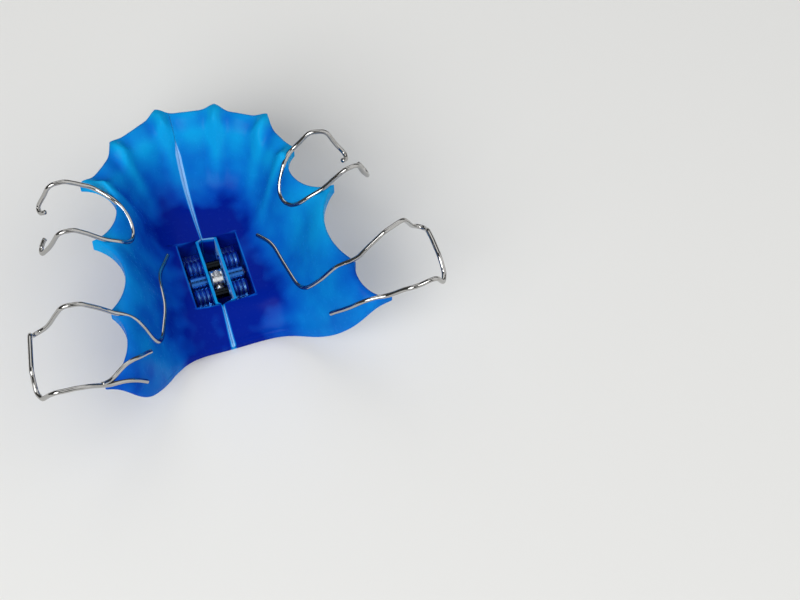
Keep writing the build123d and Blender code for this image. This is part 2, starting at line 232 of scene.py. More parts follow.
# Saw lines and feed marks, both further apart than real ones so that they show. A wave texture
# turns 20 radians in one unit, so its scale is this turn over the spacing
SAW_LINES = 1.885 * MM
SAW_LINE_HEIGHT = 0.03 * MM
FEED_MARKS = 0.5027 * MM
WAVE_TURN = 2 * math.pi / 20

# Die lines: changes along a wire and round it, so about 0.04 mm apart
DIE_LINES = (4.0, 44.0, 1.0)

# Floor's half width, and the lamps: name, setting of the power, size and place, all in metres
FLOOR_REACH = 1.5
LAMPS = (
    ("key", "key_power", 0.45, (-0.36, -0.39, 0.42)),
    ("top", "top_power", 0.5, (0.06, 0.40, 0.56)),
    ("fill", "fill_power", 1.3, (0.50, -0.34, 0.46)),
)

# Camera of the photograph: where it stands, what it looks at, its lens and sensor in millimetres,
# and the nearest distance that it sees, in metres
CAMERA_EYE = MM * np.array((-22.45, -140.7, 196.6))
CAMERA_TARGET = MM * np.array((17.6, -17.4, 11.5))
CAMERA_LENS = 90.0
SENSOR_WIDTH = 36.0
CLIP_START = 0.01


def linear(hex_colour):
    """sRGB hex colour as linear red, green, blue and alpha."""
    srgb = np.array([int(hex_colour[i : i + 2], 16) for i in (1, 3, 5)]) / 255
    low, high = srgb / 12.92, ((srgb + 0.055) / 1.055) ** 2.4
    return (*np.where(srgb <= 0.04045, low, high).tolist(), 1.0)


def length(name, text, millimetres):
    """A length that the user may change, stored in metres."""
    return FloatProperty(
        name=name, description=text, default=millimetres * MM, unit="LENGTH", precision=5
    )


def lamp_power(name, text, watts):
    """A lamp's power that the user may change."""
    return FloatProperty(name=name, description=text, default=watts, unit="POWER")


def tint(name, text, hex_colour):
    """A colour that the user may change."""
    return FloatVectorProperty(
        name=name,
        description=text,
        default=linear(hex_colour),
        subtype="COLOR",
        size=4,
        min=0,
        max=1,
    )


class PlateSettings(bpy.types.PropertyGroup):
    """Sizes and colours of the acrylic plate."""

    edge_height: length("Edge height", "Height of the scalloped edge above the spindle", 11.3)
    floor_height: length("Floor height", "Height of the polished side over the spindle", 2.0)
    palate_depth: length("Palate depth", "Depth of the fitting side below the spindle", 2.2)
    edge_wall: length("Edge wall", "Height of the wall along the scallops", 2.0)
    rear_wall: length("Rear wall", "Thickness of the rear edge", 1.2)
    rear_taper: length("Rear taper", "Length over which the plate thins to the rear edge", 2.6)
    collar_width: length("Collar width", "Width of the roll of acrylic along the scallops", 2.8)
    rim_radius: length("Rim radius", "Rounding of the polished side's rim", 0.4)
    kerf: length("Kerf", "Width of the saw cut between the halves", 0.5)
    kerf_foot: length("Kerf foot", "Width of the saw cut below its bevels", 0.04)
    kerf_front: length("Kerf front", "Where the bevels end, before the spindle", 15.2)
    bevel_share: FloatProperty(
        name="Bevel share", description="Share of the kerf open at the screw", default=0.25
    )
    kerf_bevel: length("Kerf bevel", "Depth of the bevels along the saw cut", 0.25)
    kerf_x: length("Kerf place", "Middle of the saw cut", -0.5)
    slot_half_width: length("Slot half width", "Half the width of the slot over the screw", 1.0)
    slot_wall: length("Slot wall", "Thickness of the wall between slot and pocket", 0.3)
    pocket_reach: length("Pocket reach", "Outer side of a screw body's pocket", 3.65)
    pocket_floor: length("Pocket floor", "Height of the floor of a screw body's pocket", -0.45)
    slot_half_length: length("Slot half length", "Half the length of the slot over the screw", 4.85)
    slot_floor: length("Slot floor", "Height of the slot's floor", -1.5)
    fold_height: length("Fold height", "Height of the folds behind the front scallops", 0.7)
    fold_length: length("Fold length", "Way from the edge to the top of a fold", 2.6)
    fold_width: length("Fold width", "Half width of a fold", 0.85)
    swag_height: length("Swag height", "Height of the swags between the folds", 0.5)
    swag_distance: length("Swag distance", "Distance from a scallop to the top of its swag", 2.4)
    swag_width: length("Swag width", "Half width of a swag", 0.7)
    thin_colour: tint("Thin acrylic", "Colour of the acrylic where it is thin", "#0E9EDE")
    deep_colour: tint("Deep acrylic", "Colour of the acrylic round the screw", "#021F8E")
    sawn_colour: tint("Sawn acrylic", "Colour of the frosted saw cut", "#86BEEF")


class WireSettings(bpy.types.PropertyGroup):
    """Sizes and colour of the clasp wires."""

    diameter: length("Diameter", "Diameter of the clasp wire", 0.55)
    tag_depth: length("Tag depth", "How deep a tag lies in the acrylic", 0.4)
    loop_depth: length("Loop depth", "How deep a front clasp's loop lies in the acrylic", 0.3)
    tag_bend: length("Tag bend", "Bend radius of the tags and loops", 2.5)
    crossing_bend: length("Crossing bend", "Bend radius of a wire between two scallops", 1.2)
    hook_bend: length("Hook bend", "Bend radius of the hooks", 0.6)
    settle: length("Settle", "How near the plate a wire has to be to lie in it", 0.9)
    end_dome: length("End dome", "Height of the domed wire ends", 0.15)
    colour: tint("Wire", "Colour of the drawn steel wire", "#B2B1AF")


class ScrewSettings(bpy.types.PropertyGroup):
    """Sizes of the spindle and colours of the screw."""

    spindle_diameter: length("Spindle diameter", "Outer diameter of the threads", 1.3)
    spindle_length: length("Spindle length", "Length of the spindle", 6.9)
    thread_pitch: length("Thread pitch", "Pitch of the two threads", 0.4)
    thread_depth: length("Thread depth", "Depth of the threads", 0.16)
    head_diameter: length("Head diameter", "Diameter of the head", 2.4)
    head_length: length("Head length", "Length of the head", 1.5)
    key_hole: length("Key hole", "Diameter of the key holes", 0.9)
    end_chamfer: length("End chamfer", "Chamfer of the head and of the ends", 0.12)
    colour: tint("Screw steel", "Colour of the turned steel", "#D6D8DB")
    # The bodies' colour is steel tinted by blue acrylic, kept light as a painted highlight on the
    # outer barrels; the middle barrels' darker colour is painted shade
    body_tint_and_highlight: tint("Screw bodies", "Colour of the bodies under blue acrylic", "#86C4FA")
    middle_barrel_shade: tint("Middle barrels", "Colour of the bodies in painted shade", "#2E66B4")
    pin_colour: tint("Guide pins", "Colour of the ground pins in the shade of the slot", "#1E2226")


class StageSettings(bpy.types.PropertyGroup):
    """Floor and light."""

    floor_colour: tint("Floor", "Colour of the floor", "#E9E9E7")
    key_power: lamp_power("Key light", "Power of the key light", 4.0)
    top_power: lamp_power("Top light", "Power of the top light", 0.9)
    fill_power: lamp_power("Fill light", "Power of the fill light", 5.0)
    world_strength: FloatProperty(
        name="World", description="Strength of the surrounding light", default=0.09
    )


def smooth_step(share):
    """Share held between 0 and 1 and eased at both: three squares less two cubes."""
    share = np.clip(share, 0, 1)
    return share**2 * (3 - 2 * share)


def half_width(y):
    """Half the arch's width, which grows with the square of the way past the flare's start."""
    return ARCH_HALF_WIDTH + REAR_FLARE * (np.maximum(0, FLARE_START_Y - y) / FLARE_LENGTH) ** 2


def edge_points():
    """Points of the edge between the scallops, from its left end round to its right end: along the
    sides a share of the half width, and round the front a share of a superellipse."""
    left, right = (
        [(ARCH_CENTRE_X + side * half_width(y * MM) * share, y * MM) for side, y, share in points]
        for points in (LEFT_SIDE, RIGHT_SIDE)
    )
    angle, share = np.array(FRONT).T
    across, forward = np.cos(np.radians(angle)), np.sin(np.radians(angle))
    outwards = np.sign(across) * np.abs(across) ** (2 / ARCH_POWER)
    x = ARCH_CENTRE_X + ARCH_HALF_WIDTH * share * outwards
    y = FRONT_START_Y + FRONT_REACH * share * forward ** (2 / ARCH_POWER)
    return np.concatenate((left, np.stack((x, y), 1), right))


EDGE = edge_points()


def scallop_circles():
    """Centres and radii of the scallops: circles through two points of the edge and the bulge
    between."""
    chord = EDGE[1:] - EDGE[:-1]
    span = np.linalg.norm(chord, axis=1)
    radius = (span**2 / 4 + SCALLOP_BULGES**2) / (2 * SCALLOP_BULGES)
    inward = np.stack((chord[:, 1], -chord[:, 0]), 1) / span[:, None]
    return (EDGE[1:] + EDGE[:-1]) / 2 + inward * (SCALLOP_BULGES - radius)[:, None], radius


SCALLOP_CENTRES, SCALLOP_RADII = scallop_circles()


def scallop_arc(scallop, count=200):
    """Points along the edge round one scallop: its circle, from one edge point to the next."""
    centre, radius = SCALLOP_CENTRES[scallop], SCALLOP_RADII[scallop]
    first, last = (np.arctan2(*(EDGE[scallop + i] - centre)[::-1]) for i in (0, 1))
    turn = (last - first + math.pi) % (2 * math.pi) - math.pi
    angle = first + turn * np.linspace(0, 1, count)
    return centre + radius * np.stack((np.cos(angle), np.sin(angle)), 1)


def smooth_curve(points, count):
    """Cubic spline through points, whose curvature is equal on both sides of each inner point."""
    step = np.linalg.norm(np.diff(points, axis=0), axis=1)
    place = np.concatenate(((0,), np.cumsum(step)))
    rise = np.diff(points, axis=0) / step[:, None]
    n = len(points)
    system, right = np.eye(n) * 2, np.zeros_like(points)
    system[0, 1] = system[-1, -2] = 1
    right[0], right[-1] = 3 * rise[0], 3 * rise[-1]
    inner = np.arange(1, n - 1)
    system[inner, inner - 1] = step[1:] / (step[1:] + step[:-1])
    system[inner, inner + 1] = step[:-1] / (step[1:] + step[:-1])
    share = (step[1:] / (step[1:] + step[:-1]))[:, None]
    right[inner] = 3 * (share * rise[:-1] + (1 - share) * rise[1:])
    slope = np.linalg.solve(system, right)
    t = np.linspace(0, place[-1], count)
    i = np.clip(np.searchsorted(place, t, side="right") - 1, 0, n - 2)
    h = step[i][:, None]
    s = ((t - place[i]) / step[i])[:, None]
    start = points[i] * (1 + 2 * s) * (1 - s) ** 2 + slope[i] * h * s * (1 - s) ** 2
    return start + points[i + 1] * s**2 * (3 - 2 * s) - slope[i + 1] * h * s**2 * (1 - s)


def rear_curve(count=2000):
    """Rear edge from the right end of the scalloped edge to its left end."""
    right, left = EDGE[-1], EDGE[0]
    points = (right, right + RIGHT_LOBE, *REAR_MIDDLE, left + LEFT_LOBE, left)
    return smooth_curve(np.array(points), count)


REAR = rear_curve()


def rear_distance(x, y):
    """How far places in plan lie before the rear edge: the way along y times the cosine of the
    edge's slope."""
    edge_x, edge_y = REAR[::-1].T
    slope = np.interp(x, edge_x, np.gradient(edge_y, edge_x))
    return np.maximum(0, y - np.interp(x, edge_x, edge_y)) / np.hypot(1, slope)


def rear_way(x, y):
    """Way along y from the rear edge to places in plan."""
    return np.maximum(0, y - np.interp(x, *REAR[::-1].T))


def resampled(curve, shares):
    """Points at shares of a curve's length."""
    walked = np.concatenate(((0,), np.cumsum(np.linalg.norm(np.diff(curve, axis=0), axis=1))))
    return np.stack([np.interp(shares * walked[-1], walked, axis) for axis in curve.T], 1)


def cut_at(curve, x):
    """The first part of a curve, from its start to where it crosses x."""
    beyond = int(np.argmax((curve[:-1, 0] - x) * (curve[1:, 0] - x) <= 0)) + 1
    a, b = curve[beyond - 1], curve[beyond]
    crossing = a + (b - a) * (x - a[0]) / (b[0] - a[0])
    return np.concatenate((curve[:beyond], crossing[None]))


def scallop_distance(x, y):
    """Distances from places in plan to the scallops, one layer for each, 0 inside a scallop."""
    away = np.hypot(x[..., None] - SCALLOP_CENTRES[:, 0], y[..., None] - SCALLOP_CENTRES[:, 1])
    return np.maximum(0, away - SCALLOP_RADII)


def vault(x, y, floor, edge, power, collar_width):
    """Height that grows with a power of the share of the way from the arch's middle to its edge,
    and near a scallop rolls up to the edge's height by a bell curve of the distance to it."""
    across = np.abs(x - ARCH_CENTRE_X) / half_width(y)
    forward = np.maximum(0, y - FRONT_START_Y) / FRONT_REACH
    share = (across**ARCH_POWER + forward**ARCH_POWER) ** (1 / ARCH_POWER)
    height = floor + (edge - floor) * share**power
    free = np.prod(1 - np.exp(-((scallop_distance(x, y) / collar_width) ** 2)), axis=-1)
    return edge + (height - edge) * free


def palate_height(x, y, plate):
    """Height of the fitting side, which lies on the palate."""
    edge = plate.edge_height - plate.edge_wall
    return vault(x, y, -plate.palate_depth, edge, PALATE_POWER, plate.collar_width)


def folds(x, y, plate):
    """Height of the soft folds behind the front scallops: each rises with the share s of its length
    along the way in from the edge as s times a bell curve of s, and falls off sideways to a trough
    by a bell curve's second slope. Between them swags hang below the scallops, a bell curve round a
    fixed distance from the nearest scallop."""
    start = EDGE[FOLD_POINTS]
    way = FOLD_AIM - start
    way = way / np.linalg.norm(way, axis=1)[:, None]
    along = (x[..., None] - start[:, 0]) * way[:, 0] + (y[..., None] - start[:, 1]) * way[:, 1]
    aside = (x[..., None] - start[:, 0]) * way[:, 1] - (y[..., None] - start[:, 1]) * way[:, 0]
    share = np.maximum(0, along) / plate.fold_length
    aside = (aside / plate.fold_width) ** 2
    rise = share * np.exp((1 - share**2) / 2) * (1 - aside) * np.exp(-aside / 2)
    nearest = np.min(scallop_distance(x, y)[..., SWAG_SCALLOPS], axis=-1)
    swag = np.exp(-(((nearest - plate.swag_distance) / plate.swag_width) ** 2))
    return plate.fold_height * np.sum(rise, axis=-1) + plate.swag_height * swag


def polished_height(x, y, plate):
    """Height of the polished side, towards the tongue: the vault with its folds, which a bell
    curve of the way from the rear edge thins to the rear wall."""
    full = vault(x, y, plate.floor_height, plate.edge_height, POLISHED_POWER, plate.collar_width)
    full = full + folds(x, y, plate)
    thin = palate_height(x, y, plate) + plate.rear_wall
    return full + (thin - full) * np.exp(-((rear_way(x, y) / plate.rear_taper) ** 2))


def rim_distance(x, y):
    """Distance from places in plan to the plate's edge, along the scallops or along the rear."""
    return np.minimum(rear_distance(x, y), np.min(scallop_distance(x, y), axis=-1))


def rounding(distance, radius):
    """How far a quarter round of the radius falls away at a distance from the edge."""
    inside = np.clip(radius - distance, 0, radius)
    return radius - np.sqrt(radius**2 - inside**2)


def coons(rear, front, kerf, side):
    """Places in plan between four edges: the blend across plus the blend along, less the blend of
    the four corners, as a grid of shares u across (kerf to side) and v along (rear to front)."""
    u = np.linspace(0, 1, len(rear))[None, :, None]
    v = np.linspace(0, 1, len(side))[:, None, None]
    across = (1 - u) * kerf[:, None] + u * side[:, None]
    along = (1 - v) * rear[None] + v * front[None]
    at_kerf, at_side = ((1 - v) * rear[i] + v * front[i] for i in (0, -1))
    corners = (1 - u) * at_kerf + u * at_side
    return across + along - corners


def kerf_half(y, plate):
    """Half the saw cut's width between its bevels: it spreads with the way from the slot and
    closes at its front."""
    spread = np.clip((np.abs(y) - plate.slot_half_length) / KERF_SPREAD, 0, 1)
    opening = np.clip((plate.kerf_front - y) / KERF_CLOSING, 0, 1) * (plate.bevel_share + spread)
    return (plate.kerf_foot + (plate.kerf - plate.kerf_foot) * opening) / 2


def kerf_sides(sign, plate):
    """Where the side of one half lies at the saw cut, between the bevels and below them."""
    return plate.kerf_x + sign * plate.kerf / 2, plate.kerf_x + sign * plate.kerf_foot / 2


def half_outline(sign, plate):
    """Rear edge, front and side of one half in plan, from the kerf or the rear on, and the shares
    of their lengths: across they crowd towards the scallops by a power, along towards both ends
    by a sine."""
    kerf_x, foot_x = kerf_sides(sign, plate)
    arcs = [scallop_arc(scallop) for scallop in range(len(SCALLOP_RADII))]
    if sign < 0:
        rear = cut_at(REAR[::-1], kerf_x)[::-1]
        side = np.concatenate(arcs[LEFT_SIDE_SCALLOPS])
        front = cut_at(np.concatenate(arcs[LEFT_FRONT_SCALLOPS]), foot_x)[::-1]
    else:
        rear = cut_at(REAR, kerf_x)[::-1]
        side = np.concatenate(arcs[RIGHT_SIDE_SCALLOPS])[::-1]
        front = cut_at(np.concatenate(arcs[RIGHT_FRONT_SCALLOPS])[::-1], foot_x)[::-1]
    u = 1 - (1 - np.linspace(0, 1, ACROSS_POINTS)) ** CROWDING_POWER
    even = np.linspace(0, 1, ALONG_POINTS)
    v = even - END_CROWDING * np.sin(2 * math.pi * even) / (2 * math.pi)
    return resampled(rear, u), resampled(front, u), resampled(side, v), u, v


def beside_screw(y, plate):
    """1 beside the screw, and 0 before and behind it, by a smooth step at the slot's ends."""
    return smooth_step((plate.slot_half_length - np.abs(y)) / SLOT_EASE + 0.5)


def round_pocket(plan, sign, plate):
    """Places in plan, pushed away from the kerf to the pocket's side beside the screw, less and
    less over a fixed width."""
    kerf_x = kerf_sides(sign, plate)[0]
    from_kerf = sign * (plan[..., 0] - kerf_x)
    push = beside_screw(plan[..., 1], plate) * (plate.pocket_reach - sign * kerf_x)
    push = push * np.maximum(0, 1 - from_kerf / PUSHED_WIDTH)
    return plan + sign * np.stack((push, 0 * push), -1)


def lifted(plan, height, turn, radius, plate):
    """Points over places in plan at a side's height, with a quarter round along the rim that turns
    down (1) or up (-1)."""
    x, y = plan[..., 0], plan[..., 1]
    z = height(x, y, plate) - turn * rounding(rim_distance(x, y), radius)
    return np.concatenate((plan, z[..., None]), -1)


def rim(grid):
    """Outer edge of a side's grid: its rear, its scallops and its front."""
    return np.concatenate((grid[0, :-1], grid[:-1, -1], grid[-1, ::-1]))


def between(upper, lower, steps):
    """Wall of straight blends between two lines of points."""
    share = np.linspace(0, 1, steps + 1)[:, None, None]
    return upper * (1 - share) + lower * share


def plate_patches(sign, plate):
    """One half of the plate as grids: polished side, outer wall, pocket of the screw body, slot
    floor with the kerf below it, fitting side and sawn kerf wall. Each side is a Coons patch in
    plan that the vault's formula lifts, and the walls are straight blends between lines of
    points."""
    foot_x = kerf_sides(sign, plate)[1]
    rear, front, side, u, v = half_outline(sign, plate)
    y = rear[0, 1] + (front[0, 1] - rear[0, 1]) * v
    cut = np.stack((plate.kerf_x + sign * kerf_half(y, plate), y), 1)
    foot = np.stack((np.full_like(y, foot_x), y), 1)
    slot = beside_screw(y, plate)
    top = round_pocket(coons(rear, front, cut, side), sign, plate)
    top = lifted(top, polished_height, 1, plate.rim_radius, plate)
    low_rear = rear - np.outer(1 - u, cut[0] - foot[0])
    bottom = coons(low_rear, front, foot, side)
    bottom = lifted(bottom, palate_height, -1, plate.rim_radius / 2, plate)

    def stepped(x, z):
        """Line along the kerf that steps aside to x and down to z beside the screw."""
        aside = cut + np.stack((slot * (sign * x - cut[:, 0]), 0 * y), 1)
        height = top[:, 0, 2] + slot * (z - top[:, 0, 2])
        return np.concatenate((aside, height[:, None]), 1)

    outer = top[:, 0] * FOOT_SHARE + bottom[:, 0] * (1 - FOOT_SHARE)
    outer[:, 0] = foot[:, 0]
    outer[:, 2] += slot * (plate.slot_floor - outer[:, 2])
    inner = outer.copy()
    inner[:, 0] += slot * (sign * plate.slot_half_width - outer[:, 0])
    inner[:, 1] = y
    wall_x = plate.slot_half_width + plate.slot_wall
    corners = [
        top[:, 0],
        stepped(plate.pocket_reach, plate.pocket_floor),
        stepped(wall_x, plate.pocket_floor),
        stepped(wall_x, plate.floor_height),
        stepped(plate.slot_half_width, plate.floor_height),
    ]
    pocket = [between(upper, lower, POCKET_STEPS) for upper, lower in zip(corners, corners[1:])]
    bevel = corners[-1] - np.outer(np.ones_like(y), (0, 0, plate.kerf_bevel))
    bevel[:, 0] += (1 - slot) * (foot_x - cut[:, 0])
    sawn = np.concatenate(
        (between(corners[-1], bevel, BEVEL_STEPS), between(bevel, inner, SAWN_STEPS)[1:])
    )
    foot_wall = between(outer, bottom[:, 0], FOOT_STEPS)[1:]
    below = np.concatenate((between(inner, outer, FLOOR_STEPS), foot_wall))
    # The outer wall's first and last columns are the ends of the sawn wall
    wall = between(rim(top), rim(bottom), len(sawn) + len(foot_wall) - 1)
    ends = np.concatenate((sawn, foot_wall))[:, (0, -1)]
    wall[:, 0], wall[:, -1] = ends.transpose(1, 0, 2)
    return [top, wall, *pocket, below, bottom, sawn]


def depth_and_painted_light_share(x, y, z, plate):
    """Share of the deep colour: a flat-topped bell curve across, another forwards of the screw,
    and a painted highlight, a bright line along the saw cut, the slot and round the pockets. The
    rear lobes take painted shade, the folds a painted highlight and their troughs painted shade,
    and below the bevels the slot is deep all over as painted shade."""
    across = np.abs(x - DEEP_MIDDLE) / DEEP_HALF_WIDTH
    forward = np.maximum(0, y) / DEEP_FORWARD
    from_kerf = np.abs(x - plate.kerf_x) - kerf_half(y, plate)
    from_slot = np.abs(x) - plate.slot_half_width - plate.slot_wall
    from_cut = np.where(np.abs(y) < plate.slot_half_length, from_slot, from_kerf)
    share = np.exp(-(across**ACROSS_FALL) - forward**FORWARD_FALL)
    share = share * np.clip(from_cut / CUT_HIGHLIGHT, 0, 1)
    # Painted shade on the rear lobes: darker outwards and backwards of a corner
    outwards, backwards = (np.abs(x) - LOBE_OUT) / LOBE_WAY, (LOBE_BACK - y) / LOBE_WAY
    lobe = LOBE_SHADE * np.clip(outwards, 0, 1) * np.clip(backwards, 0, 1)
    # Fold ridges are painted paler as painted highlight, and their troughs deeper as painted shade
    share = share + PIGMENT + lobe - FOLD_LIGHT_AND_SHADE * folds(x, y, plate) / plate.fold_height
    past_end = np.abs(y) - plate.slot_half_length
    past_side = np.abs(x) - plate.pocket_reach
    from_pocket = np.abs(np.maximum(past_side, past_end))
    share = share * np.clip(from_pocket / POCKET_HIGHLIGHT, POCKET_HIGHLIGHT_SHARE, 1)
    # Painted shade: inside the slot all below the bevels takes the deepest colour
    in_slot = (past_end < SLOT_MARGINS[0]) & (past_side < SLOT_MARGINS[1])
    return np.where(in_slot & (z < plate.floor_height - plate.kerf_bevel), 1, share)


def bent_path(points, bends):
    """Path of straight runs with an arc at each corner: the arc's centre lies on the corner's
    bisector, and its radius is the bend asked for, or what the runs beside it leave room for."""
    into, out = points[1:-1] - points[:-2], points[2:] - points[1:-1]
    shorter = np.minimum(np.linalg.norm(into, axis=1), np.linalg.norm(out, axis=1))
    into = into / np.linalg.norm(into, axis=1)[:, None]
    out = out / np.linalg.norm(out, axis=1)[:, None]
    half = np.arccos(np.clip(np.sum(into * out, axis=1), -1, 1)) / 2
    radius = np.minimum(bends[1:-1], BEND_SHARE * shorter / np.tan(half))[:, None, None]
    inward = (out - into) / np.linalg.norm(out - into, axis=1)[:, None]
    centre = points[1:-1, None] + inward[:, None] * radius / np.cos(half)[:, None, None]
    start = points[1:-1, None] - into[:, None] * radius * np.tan(half)[:, None, None]
    spoke = (start - centre) / radius
    angle = (np.linspace(0, 2, ARC_POINTS)[None] * half[:, None])[..., None]
    arcs = centre + radius * (spoke * np.cos(angle) + into[:, None] * np.sin(angle))
    return np.concatenate((points[:1], arcs.reshape(-1, 3), points[-1:]))


def tube(path, radius, dome):
    """Circle carried along a path, with both ends domed: the rings shrink with the cosine of an
    angle while they move out with its sine."""
    angle = np.linspace(0, math.pi / 2, DOME_RINGS)[:, None]
    first, last = path[0] - path[1], path[-1] - path[-2]
    first, last = first / np.linalg.norm(first), last / np.linalg.norm(last)
    head = path[0] + first * dome * (np.sin(angle[::-1]) - 1)
    tail = path[-1] + last * dome * (np.sin(angle) - 1)
    even = np.ones((len(path) - 2, 1))
    size = np.concatenate((np.cos(angle[::-1]), even, np.cos(angle))) * radius
    line = np.concatenate((head, path[1:-1], tail))
    way = np.gradient(path, axis=0)
    ends = np.repeat(-first[None], DOME_RINGS, 0), np.repeat(last[None], DOME_RINGS, 0)
    way = np.concatenate((ends[0], way[1:-1], ends[1]))
    way = way / np.linalg.norm(way, axis=1)[:, None]
    side = np.cross(way, RING_HELPER)
    side = side / np.linalg.norm(side, axis=1)[:, None]
    over = np.cross(way, side)
    turn = np.linspace(0, 2 * math.pi, WIRE_AROUND + 1)[None, :, None]
    ring = side[:, None] * np.cos(turn) + over[:, None] * np.sin(turn)
    return line[:, None] + ring * size[:, None]


def seat_height(x, y, depth, context):
    """Height of a wire's axis where the wire lies in the polished side to the given depth."""
    scene = context.scene
    return polished_height(x, y, scene.expander_plate) + scene.expander_wire.diameter / 2 - depth


def on_plate(places, depth, context):
    """Points of a wire's axis over places in plan, where the wire lies in the polished side."""
    x, y = MM * np.array(places).T
    return np.stack((x, y, seat_height(x, y, depth, context)), 1)


def beside(point, side, offsets, context):
    """Points outwards, backwards and above the edge, measured from a point of the edge."""
    out, back, rise = MM * np.array(offsets).T
    height = context.scene.expander_plate.edge_height
    return np.stack((point[0] + side * out, point[1] - back, height + rise), 1)


def averaged(path, reach):
    """Path whose points are averages over their neighbours up to a reach on both sides, past the
    ends over the path turned about them, so that the ends stay."""
    longer = np.pad(path, ((reach, reach), (0, 0)), mode="reflect", reflect_type="odd")
    total = np.cumsum(np.concatenate((0 * longer[:1], longer)), axis=0)
    return (total[2 * reach + 1 :] - total[: -2 * reach - 1]) / (2 * reach + 1)


def settled(path, depth, context):
    """Path whose points near the polished side lie in it to the given depth: their bends in plan
    are averaged out, and the share of the way down is a smooth step of how near they were."""
    seat = seat_height(path[:, 0], path[:, 1], depth, context)
    near = 2 * (1 - np.abs(path[:, 2] - seat) / context.scene.expander_wire.settle)
    share = averaged(smooth_step(near)[:, None], SETTLE_REACH)
    soft = path + share * (averaged(path, SETTLE_REACH) - path)
    seat = seat_height(soft[:, 0], soft[:, 1], depth, context)
    drop = share * (seat - soft[:, 2])[:, None]
    return averaged(soft + averaged(drop, SETTLE_REACH) * (0, 0, 1), SMOOTH_REACH)


def wire_patch(runs, depth, context):
    """Round wire along runs of points, each run with its own bend, with rings at even steps."""
    wire = context.scene.expander_wire
    points = np.concatenate([run for run, bend in runs])
    bends = np.concatenate([np.full(len(run), bend) for run, bend in runs])
    path = bent_path(points, bends)
    count = int(np.sum(np.linalg.norm(np.diff(path, axis=0), axis=1)) / WIRE_STEP)
    path = settled(resampled(path, np.linspace(0, 1, count)), depth, context)
    return tube(path, wire.diameter / 2, wire.end_dome)


def rear_tag_points(side, rear, rear_tag, context):
    """Points of a molar clasp's short rear tag."""
    places = [(rear[0] / MM - side * inwards, rear[1] / MM - back) for inwards, back in rear_tag]
    return on_plate(places, context.scene.expander_wire.tag_depth, context)


def spur_runs(context):
    """Run of the spur: from the middle of the left clasp's rear arm to the plate."""
    wire = context.scene.expander_wire
    arm = beside(EDGE[0], -1, MOLAR_REAR_ARM, context)[-1:]
    joined = (arm + rear_tag_points(-1, EDGE[0], LEFT_REAR_TAG, context)[:1]) / 2
    return [(np.concatenate((joined, on_plate(LEFT_SPUR, wire.tag_depth, context))), wire.tag_bend)]


def molar_runs(side, front, rear, tag, crossing, hook, bridge_end, rear_tag, context):
    """Runs of a molar clasp: tag in the plate, arm over the edge in front, hook, bridge, hook, rear
    arm and rear tag."""
    wire = context.scene.expander_wire
    return [
        (on_plate(tag, wire.tag_depth, context), wire.tag_bend),
        (beside(front, side, crossing, context), wire.crossing_bend),
        (beside(front, side, hook, context), wire.hook_bend),
        (beside(rear, side, bridge_end, context), wire.hook_bend),
        (beside(rear, side, MOLAR_REAR_ARM, context), wire.crossing_bend),
        (rear_tag_points(side, rear, rear_tag, context), wire.tag_bend),
    ]


def front_runs(side, front, rear, front_arm, loop, rear_arm, context):
    """Runs of a front clasp: a hook at each end, and a loop on the plate between its two arms."""
    wire = context.scene.expander_wire
    return [
        (beside(front, side, front_arm[:FRONT_HOOK], context), wire.hook_bend),
        (beside(front, side, front_arm[FRONT_HOOK:], context), wire.crossing_bend),
        (on_plate(loop, wire.loop_depth, context), wire.tag_bend),
        (beside(rear, side, rear_arm[:REAR_CROSSING], context), wire.crossing_bend),
        (beside(rear, side, rear_arm[REAR_CROSSING:], context), wire.hook_bend),
    ]


def spindle_patch(screw):
    """Surface round the X axis whose radius depends on the place along it and the angle: a
    triangle wave that winds with the pitch on both ends, one right-handed and one left-handed, a
    chamfered head between them, and four dips in the head for the mouths of the crossed key
    holes."""
    half_head, half = screw.head_length / 2, screw.spindle_length / 2
    major, head = screw.spindle_diameter / 2, screw.head_diameter / 2
    end = np.linspace(half_head, half, THREAD_POINTS)
    middle = np.linspace(-half_head, half_head, HEAD_POINTS)
    x = np.concatenate((-end[::-1], middle, end))[:, None]
    on_head = np.repeat((False, True, False), (THREAD_POINTS, HEAD_POINTS, THREAD_POINTS))[:, None]
    angle = np.linspace(0, 2 * math.pi, SPINDLE_AROUND)[None]
    wave = np.abs((np.abs(x) / screw.thread_pitch - angle / (2 * math.pi)) % 1 * 2 - 1)
    tip = np.minimum(0, half - np.abs(x) - screw.end_chamfer)
    thread = major - screw.thread_depth * wave + tip
    quarter = (angle + math.pi / 4) % (math.pi / 2) - math.pi / 4
    away = np.hypot(x, head * np.sin(quarter))
    mouth = smooth_step((screw.key_hole / 2 - away) / MOUTH_EASE + 0.5)
    shoulder = np.minimum(0, half_head - np.abs(x) - screw.end_chamfer)
    drum = head + shoulder - MOUTH_DEPTH * head * mouth
    radius = np.where(on_head, drum, thread)
    radius = np.concatenate((0 * radius[:1], radius, 0 * radius[:1]))
    x = np.concatenate((x[:1], x, x[-1:])) + 0 * angle
    return np.stack((x, radius * np.cos(angle), radius * np.sin(angle)), -1)


def grid_quads(rows, columns):
    """Corner numbers of a grid's faces."""
    number = np.arange(rows * columns).reshape(rows, columns)
    corners = (number[:-1, :-1], number[:-1, 1:], number[1:, 1:], number[1:, :-1])
    return np.stack(corners, -1).reshape(-1, 4)


